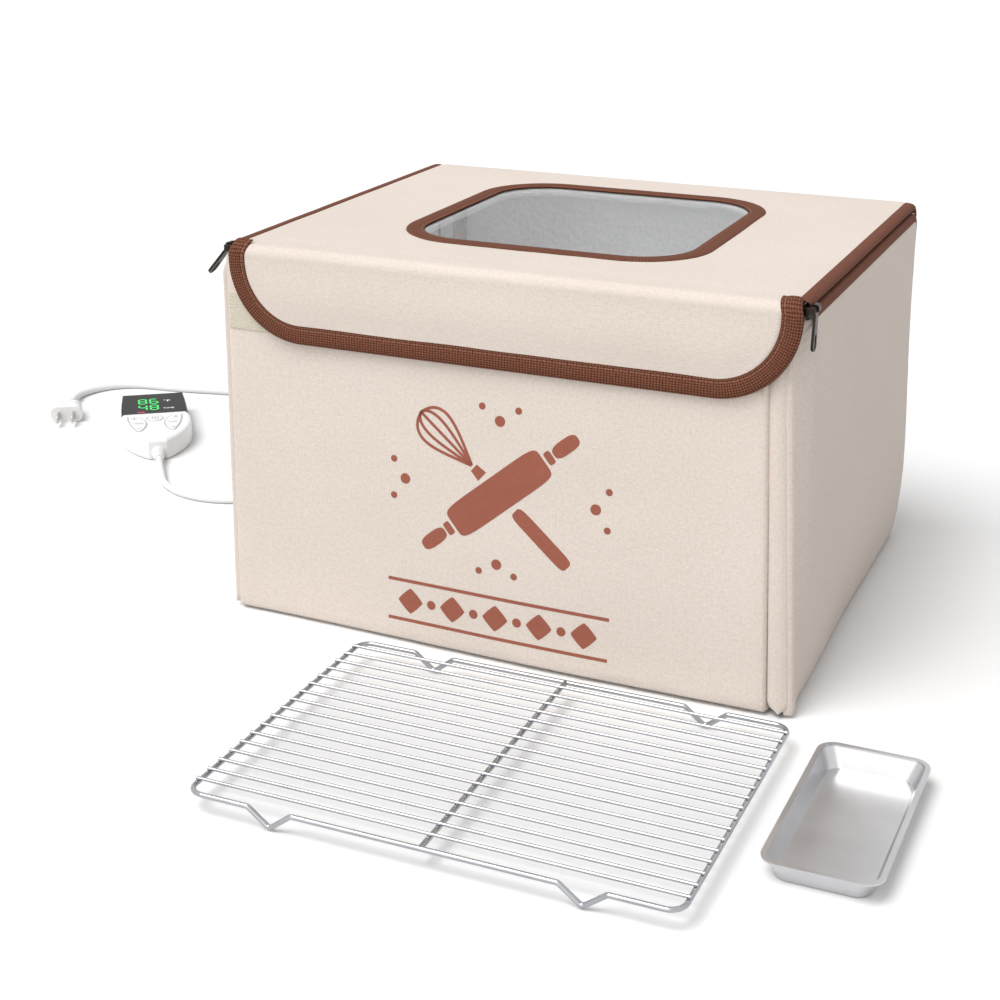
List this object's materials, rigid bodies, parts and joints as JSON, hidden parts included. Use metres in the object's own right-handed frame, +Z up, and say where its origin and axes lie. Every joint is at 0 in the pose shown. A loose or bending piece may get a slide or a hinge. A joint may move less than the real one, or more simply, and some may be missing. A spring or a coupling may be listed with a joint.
{
  "type": "folding dough proofer",
  "caption": "Fabric-covered folding box with heated floor, zipped window lid and front flap, wired hand control, wire rack and tray.",
  "frame": {"origin": "centre of the box's underside, on the counter", "axes": "+Z up, the box's front and flap face -Y, +X to the right seen from the front"},
  "size_m": [0.853, 0.6802, 0.2512],
  "materials": {
    "binding": "woven brown binding tape, matt",
    "canvas": "woven polyester canvas, matt",
    "foil": "embossed foil laminate, satin",
    "mat": "coated heating mat",
    "heater": "silicone heating wire",
    "zip_tape": "knitted zip tape, matt",
    "teeth": "moulded nylon",
    "loop": "hook and loop tape, napped",
    "corner_canvas": "woven canvas strip, matt",
    "pane": "clear soft vinyl",
    "gunmetal": "dark bronze plated die casting",
    "case": "white ABS, satin",
    "lens": "gloss black acrylic",
    "board": "circuit board",
    "module": "digit display block",
    "keys": "white silicone keys",
    "screw": "zinc plated",
    "cord": "white PVC sheath",
    "blade": "nickel plated brass",
    "chrome": "chrome plated wire",
    "tray": "pressed stainless steel"
  },
  "bodies": {
    "floor": {"bottom_cover": "binding", "floor_tray": "canvas", "floor_lining": "foil", "mat_base": "mat", "mat_cover": "mat", "heating_wire": "heater", "mat_tail": "mat", "left_corner_strip": "corner_canvas", "right_corner_strip": "corner_canvas", "cable_boot": "cord", "control_lead": "cord", "mains_lead": "cord", "plug_lead": "cord", "mains_coil": "cord", "plug_body": "case", "plug_blades": "blade", "control_base": "case", "control_top": "case", "display_lens": "lens", "circuit_board": "board", "digit_module": "module", "control_screws": "screw", "control_relief": "cord"},
    "left_side": {"left_panel": "canvas", "left_lining": "foil", "left_zip_tape": "zip_tape", "left_zip_teeth": "teeth"},
    "right_side": {"right_panel": "canvas", "right_lining": "foil", "right_zip_tape": "zip_tape", "right_zip_teeth": "teeth"},
    "front_lower": {"front_lower_panel": "canvas", "front_lower_lining": "foil"},
    "front_upper": {"front_upper_panel": "canvas", "front_upper_lining": "foil", "loop_strip": "loop"},
    "back_lower": {"back_lower_panel": "canvas", "back_lower_lining": "foil"},
    "back_upper": {"back_upper_panel": "canvas", "back_upper_lining": "foil"},
    "rear_hinge": {"rear_strip": "canvas"},
    "lid": {"lid_panel": "canvas", "lid_lining": "foil", "window_pane": "pane", "window_binding": "binding", "lid_left_tape": "zip_tape", "lid_right_tape": "zip_tape"},
    "flap": {"flap_panel": "canvas", "flap_binding": "binding", "hook_strip": "loop"},
    "left_zip_slider": {"left_slider": "gunmetal"},
    "right_zip_slider": {"right_slider": "gunmetal"},
    "left_zip_pull": {"left_pull": "gunmetal"},
    "right_zip_pull": {"right_pull": "gunmetal"},
    "power_key": {"power_button": "keys"},
    "temp_key": {"temp_rocker": "keys"},
    "time_key": {"time_rocker": "keys"},
    "rack": {"rack_rim": "chrome", "rack_wires": "chrome"},
    "drip_tray": {"tray": "tray"}
  },
  "joints": [
    {"name": "left_side_fold", "type": "hinge", "parent": "floor", "child": "left_side", "pos_m": [-0.179, 0, 0.0123], "axis": [0, 1, 0], "range_deg": [0, 90]},
    {"name": "right_side_fold", "type": "hinge", "parent": "floor", "child": "right_side", "pos_m": [0.179, 0, 0.0199], "axis": [0, -1, 0], "range_deg": [0, 90]},
    {"name": "box_fold", "type": "hinge", "parent": "floor", "child": "back_lower", "pos_m": [0, 0.144, 0.0275], "axis": [1, 0, 0], "range_deg": [0, 90], "deforming": ["left_corner_strip", "right_corner_strip"]},
    {"name": "back_knee", "type": "hinge", "parent": "back_lower", "child": "back_upper", "pos_m": [0, 0.1511, 0.13545], "axis": [1, 0, 0], "range_deg": [-180, 0]},
    {"name": "rear_rim_fold", "type": "hinge", "parent": "back_upper", "child": "rear_hinge", "pos_m": [0, 0.144, 0.2434], "axis": [1, 0, 0], "range_deg": [0, 90]},
    {"name": "front_fold", "type": "hinge", "parent": "floor", "child": "front_lower", "pos_m": [0, -0.144, 0.0275], "axis": [-1, 0, 0], "range_deg": [0, 90]},
    {"name": "front_knee", "type": "hinge", "parent": "front_lower", "child": "front_upper", "pos_m": [0, -0.1511, 0.13545], "axis": [-1, 0, 0], "range_deg": [-180, 0]},
    {"name": "lid_open", "type": "hinge", "parent": "rear_hinge", "child": "lid", "pos_m": [0, 0.1515, 0.25], "axis": [-1, 0, 0], "range_deg": [0, 110]},
    {"name": "flap_open", "type": "hinge", "parent": "lid", "child": "flap", "pos_m": [0, -0.1524, 0.25], "axis": [-1, 0, 0], "range_deg": [0, 150]},
    {"name": "left_slider_run", "type": "slide", "parent": "lid", "child": "left_zip_slider", "axis": [0, 1, 0], "range_m": [0, 0.27]},
    {"name": "right_slider_run", "type": "slide", "parent": "lid", "child": "right_zip_slider", "axis": [0, 1, 0], "range_m": [0, 0.27]},
    {"name": "left_pull_swing", "type": "hinge", "parent": "left_zip_slider", "child": "left_zip_pull", "pos_m": [-0.1877, -0.1457, 0.2465], "axis": [0, 1, 0], "range_deg": [-40, 80]},
    {"name": "right_pull_swing", "type": "hinge", "parent": "right_zip_slider", "child": "right_zip_pull", "pos_m": [0.1877, -0.1457, 0.2465], "axis": [0, -1, 0], "range_deg": [0, 120]},
    {"name": "power_press", "type": "slide", "parent": "floor", "child": "power_key", "axis": [0, 0, -1], "range_m": [0, 0.0005], "stiffness_N_per_m": 800},
    {"name": "temp_rock", "type": "hinge", "parent": "floor", "child": "temp_key", "pos_m": [-0.44219, 0.09537, 0.0142], "axis": [0.809, 0.5878, 0], "range_deg": [-1.5, 1.5], "stiffness_Nm_per_rad": 0.5},
    {"name": "time_rock", "type": "hinge", "parent": "floor", "child": "time_key", "pos_m": [-0.41954, 0.11183, 0.0142], "axis": [0.809, 0.5878, 0], "range_deg": [-1.5, 1.5], "stiffness_Nm_per_rad": 0.5},
    {"name": "rack_lift", "type": "slide", "parent": "floor", "child": "rack", "axis": [0, 0, 1], "range_m": [0, 0.1]},
    {"name": "tray_lift", "type": "slide", "parent": "floor", "child": "drip_tray", "axis": [0, 0, 1], "range_m": [0, 0.1]}
  ],
  "couplings": [
    {"joint": "back_knee", "follows": "box_fold", "ratio": -2},
    {"joint": "rear_rim_fold", "follows": "box_fold", "ratio": 1},
    {"joint": "front_fold", "follows": "box_fold", "ratio": 1},
    {"joint": "front_knee", "follows": "box_fold", "ratio": -2}
  ]
}
